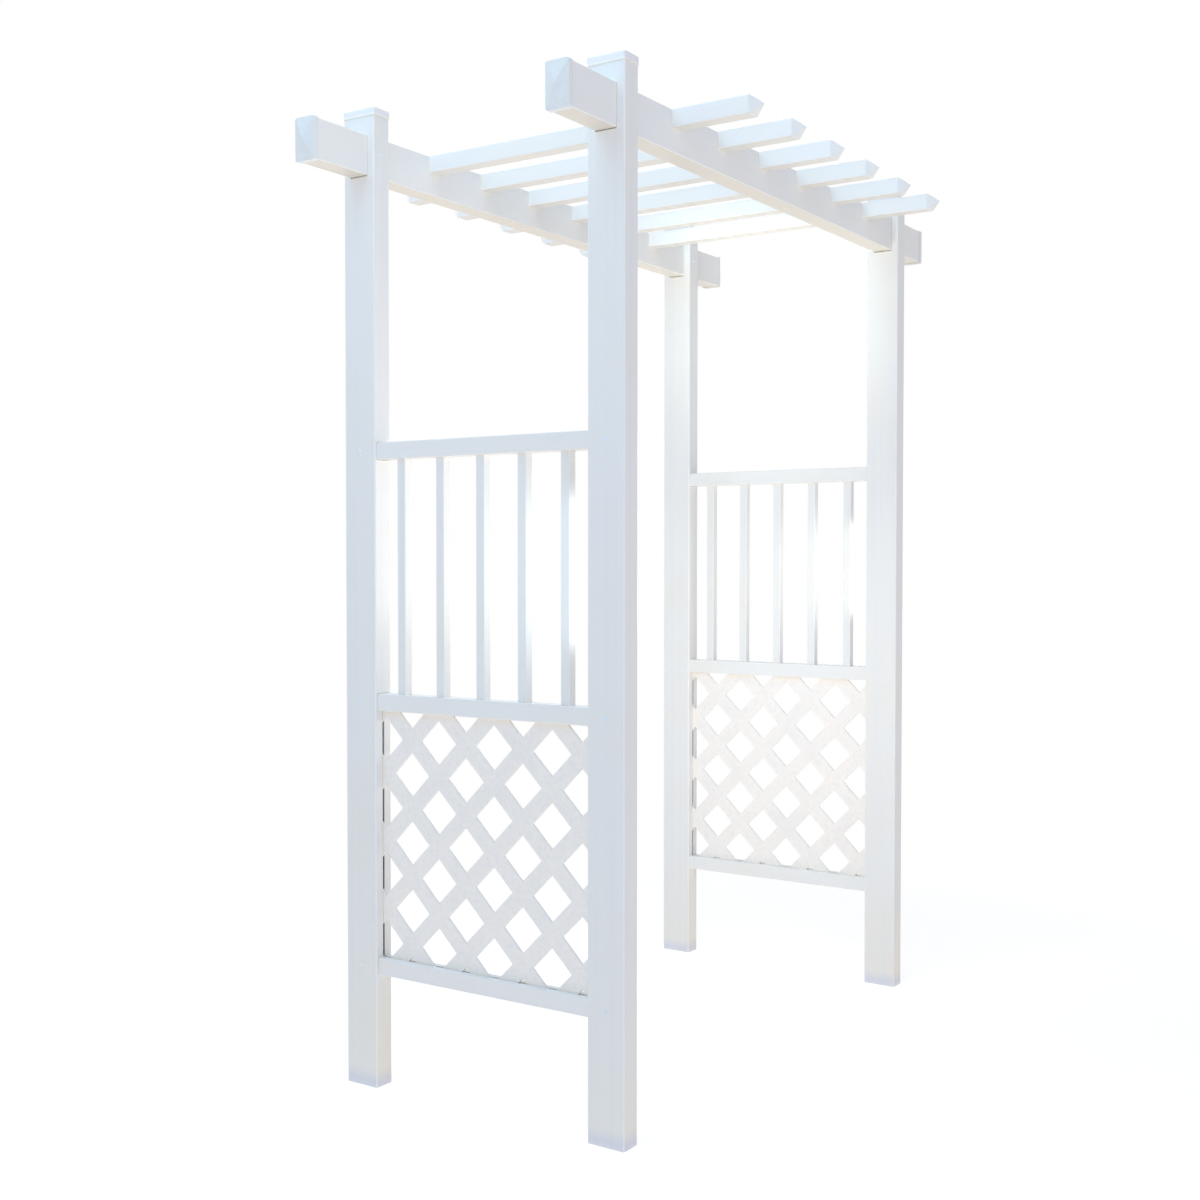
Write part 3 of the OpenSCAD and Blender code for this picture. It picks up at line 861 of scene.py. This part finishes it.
class ARBOR_OT_rails(Operator):
    """Dress the six rails in extruded vinyl"""

    bl_idname = "arbor.rails"
    bl_label = "Rails"

    def execute(self, context):
        names = [f"{rail}_rail_{panel}" for rail in RAILS for panel, _ in PANELS]
        # Rails are a lighter copy of the vinyl, painted light
        dress(names, extruded_vinyl("rail_vinyl", ALONG_Y, lit_white_share=0.1))
        return {"FINISHED"}


class ARBOR_OT_balusters(Operator):
    """Dress the balusters in extruded vinyl"""

    bl_idname = "arbor.balusters"
    bl_label = "Balusters"

    def execute(self, context):
        names = [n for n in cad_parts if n.startswith("baluster_")]
        dress(sorted(names), extruded_vinyl("baluster_vinyl", ALONG_Z, 0.6))
        return {"FINISHED"}


class ARBOR_OT_lattices(Operator):
    """Dress the two lattice sheets"""

    bl_idname = "arbor.lattices"
    bl_label = "Lattice sheets"

    def execute(self, context):
        dress([f"lattice_{panel}" for panel, _ in PANELS], lattice_sheet("lattice_vinyl"))
        return {"FINISHED"}


class ARBOR_OT_rail_screws(Operator):
    """Make the screws that run through the posts' outer faces into the rails"""

    bl_idname = "arbor.rail_screws"
    bl_label = "Rail screws"

    def execute(self, context):
        places = []
        for panel, outward in PANELS:
            for side, _ in SIDES:
                low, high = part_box(f"post_{panel}_{side}")
                face = low.x if outward < 0 else high.x
                for rail in RAILS:
                    rail_low, rail_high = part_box(f"{rail}_rail_{panel}")
                    height = (rail_low.z + rail_high.z) / 2
                    places.append(((face, (low.y + high.y) / 2, height), (outward, 0, 0)))
        screw_piece("rail_screw_set", places, context.scene.arbor_screw.rail_length, "rail_screws")
        return {"FINISHED"}


class ARBOR_OT_beam_screws(Operator):
    """Make the screws that run through the posts' inner faces into the beams"""

    bl_idname = "arbor.beam_screws"
    bl_label = "Beam screws"

    def execute(self, context):
        places = []
        for panel, _ in PANELS:
            for side, sign in SIDES:
                low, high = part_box(f"post_{panel}_{side}")
                face = high.y if sign < 0 else low.y
                beam_low, beam_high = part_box(f"beam_{side}")
                height = (beam_low.z + beam_high.z) / 2
                places.append((((low.x + high.x) / 2, face, height), (0, -sign, 0)))
        screw_piece("beam_screw_set", places, context.scene.arbor_screw.beam_length, "beam_screws")
        return {"FINISHED"}


# Stage


def floor_piece(stage):
    """A flat square under the feet.

    The camera sees the floor's own shade, which holds the shadow, with white added to it, and
    further out plain white. The object gets the floor's shade with a little warm light added, as
    from sunlit ground round about.
    """
    half = stage.floor_size / 2
    corners = [(-half, -half), (half, -half), (half, half), (-half, half)]
    mesh = bpy.data.meshes.new("floor")
    mesh.from_pydata([(x, y, -FLOOR_DROP) for x, y in corners], [], [(0, 1, 2, 3)])
    s = Shader("floor_white")
    seen = s.node("ShaderNodeLightPath", {})
    direct = s.math("MAXIMUM", seen.outputs["Is Camera Ray"], seen.outputs["Is Glossy Ray"])
    direct = s.math("MAXIMUM", direct, seen.outputs["Is Transmission Ray"])
    grain = s.spread(s.noise(FLOOR_GRAIN_WIDTH, detail=3), *GRAINY, 0.0, FLOOR_GRAIN_SHARE)
    plain = s.mix(grain, tuple(stage.floor_colour), WHITE)
    seen_colour = s.mix(direct, plain, FLOOR_GREY)
    matt = s.node("ShaderNodeBsdfDiffuse", {"Color": seen_colour, "Roughness": FLOOR_ROUGHNESS})
    white = s.node("ShaderNodeEmission", {"Color": WHITE, "Strength": stage.floor_white})
    inputs = {"Color": tuple(stage.bounce_colour), "Strength": stage.bounce_power}
    bounce = s.node("ShaderNodeEmission", inputs)
    added = s.node("ShaderNodeMixShader", {0: direct, 1: bounce.outputs[0], 2: white.outputs[0]})
    shaded = s.node("ShaderNodeAddShader", {0: matt.outputs[0], 1: added.outputs[0]})
    reach = s.node("ShaderNodeVectorMath", {0: s.place.outputs["Object"]}, operation="LENGTH")
    away = s.math("MULTIPLY", s.spread(reach.outputs["Value"], *FLOOR_ENDS), direct)
    plain_white = s.node("ShaderNodeEmission", {"Color": WHITE, "Strength": 1.0})
    inputs = {0: away, 1: shaded.outputs[0], 2: plain_white.outputs[0]}
    surface = s.node("ShaderNodeMixShader", inputs)
    s.tree.links.new(surface.outputs[0], s.output.inputs["Surface"])
    mesh.materials.append(s.material)
    floor = bpy.data.objects.new("floor", mesh)
    bpy.context.scene.collection.objects.link(floor)


def surround(stage):
    """Even light from all round, in place of which the camera, gloss and glass see white."""
    world = bpy.data.worlds.new("surround")
    world.use_nodes = True
    nodes, links = world.node_tree.nodes, world.node_tree.links
    nodes.clear()
    light = nodes.new("ShaderNodeBackground")
    light.inputs["Color"].default_value = (*stage.world_colour, 1)
    light.inputs["Strength"].default_value = stage.world_power
    white = nodes.new("ShaderNodeBackground")
    white.inputs["Color"].default_value = (*WHITE, 1)
    seen = nodes.new("ShaderNodeLightPath")
    direct = seen.outputs["Is Camera Ray"]
    for ray in ("Is Glossy Ray", "Is Transmission Ray"):
        either = nodes.new("ShaderNodeMath")
        either.operation = "MAXIMUM"
        links.new(direct, either.inputs[0])
        links.new(seen.outputs[ray], either.inputs[1])
        direct = either.outputs[0]
    mix = nodes.new("ShaderNodeMixShader")
    output = nodes.new("ShaderNodeOutputWorld")
    links.new(direct, mix.inputs[0])
    links.new(light.outputs[0], mix.inputs[1])
    links.new(white.outputs[0], mix.inputs[2])
    links.new(mix.outputs[0], output.inputs["Surface"])
    bpy.context.scene.world = world


def soft_lamp(name, place, target, size, cone, colour, power):
    """A square area lamp at place, facing target, whose light stays within a cone."""
    data = bpy.data.lights.new(name, "AREA")
    data.shape = "SQUARE"
    data.size = size
    data.spread = cone
    data.color = colour
    data.energy = power
    lamp = bpy.data.objects.new(name, data)
    lamp.location = place
    lamp.rotation_mode = "QUATERNION"
    lamp.rotation_quaternion = (Vector(place) - Vector(target)).to_track_quat("Z", "Y")
    lamp.visible_camera = False
    bpy.context.scene.collection.objects.link(lamp)


def photo_camera(stage):
    """The camera of the photograph: heading, pitch and roll turn it from a view along +Y."""
    heading, pitch, roll = stage.camera_heading, stage.camera_pitch, stage.camera_roll
    ahead = Vector(
        (
            math.sin(heading) * math.cos(pitch),
            math.cos(heading) * math.cos(pitch),
            math.sin(pitch),
        )
    )
    level = Vector((math.cos(heading), -math.sin(heading), 0))
    upright = level.cross(ahead)
    right = level * math.cos(roll) + upright * math.sin(roll)
    up = upright * math.cos(roll) - level * math.sin(roll)
    data = bpy.data.cameras.new("camera")
    data.sensor_width = FRAME_WIDTH
    data.lens = stage.camera_lens
    data.clip_end = SIGHT
    camera = bpy.data.objects.new("camera", data)
    turned = Matrix((right, up, -ahead)).transposed().to_4x4()
    camera.matrix_world = Matrix.Translation(Vector(stage.camera_place)) @ turned
    bpy.context.scene.collection.objects.link(camera)
    bpy.context.scene.camera = camera


class ARBOR_OT_stage(Operator):
    """Lay the floor, hang the lamps and set the camera"""

    bl_idname = "arbor.stage"
    bl_label = "Stage"

    def execute(self, context):
        stage = context.scene.arbor_stage
        floor_piece(stage)
        surround(stage)
        for name, place, target, size, cone in LAMPS:
            colour, power = getattr(stage, f"{name}_colour"), getattr(stage, f"{name}_power")
            soft_lamp(f"{name}_lamp", place, target, size, math.radians(cone), colour, power)
        photo_camera(stage)
        context.scene.view_settings.view_transform = "Standard"
        return {"FINISHED"}


OPERATORS = (
    ARBOR_OT_posts,
    ARBOR_OT_post_caps,
    ARBOR_OT_beams,
    ARBOR_OT_beam_caps,
    ARBOR_OT_slats,
    ARBOR_OT_slat_caps,
    ARBOR_OT_rails,
    ARBOR_OT_balusters,
    ARBOR_OT_lattices,
    ARBOR_OT_rail_screws,
    ARBOR_OT_beam_screws,
    ARBOR_OT_stage,
)


class ARBOR_PT_sidebar(Panel):
    """Lists the arbor's steps and settings"""

    bl_label = "Arbor"
    bl_idname = "ARBOR_PT_sidebar"
    bl_space_type = "VIEW_3D"
    bl_region_type = "UI"
    bl_category = "Arbor"

    def draw(self, context):
        steps = self.layout.column(align=True)
        for operator in OPERATORS:
            steps.operator(operator.bl_idname)
        for key, group in SETTINGS:
            box = self.layout.box()
            box.label(text=group.__doc__)
            for name in group.__annotations__:
                box.prop(getattr(context.scene, key), name)


CLASSES = tuple(group for _, group in SETTINGS) + OPERATORS + (ARBOR_PT_sidebar,)


def register():
    """Adds the classes and their settings to Blender."""
    for cls in CLASSES:
        bpy.utils.register_class(cls)
    for key, group in SETTINGS:
        setattr(bpy.types.Scene, key, PointerProperty(type=group))


def unregister():
    """Takes the settings and the classes away again."""
    for key, _ in SETTINGS:
        delattr(bpy.types.Scene, key)
    for cls in reversed(CLASSES):
        bpy.utils.unregister_class(cls)


def main():
    """Runs every step in order."""
    register()
    for operator in OPERATORS:
        group, name = operator.bl_idname.split(".")
        getattr(getattr(bpy.ops, group), name)()


if __name__ == "__main__":
    main()
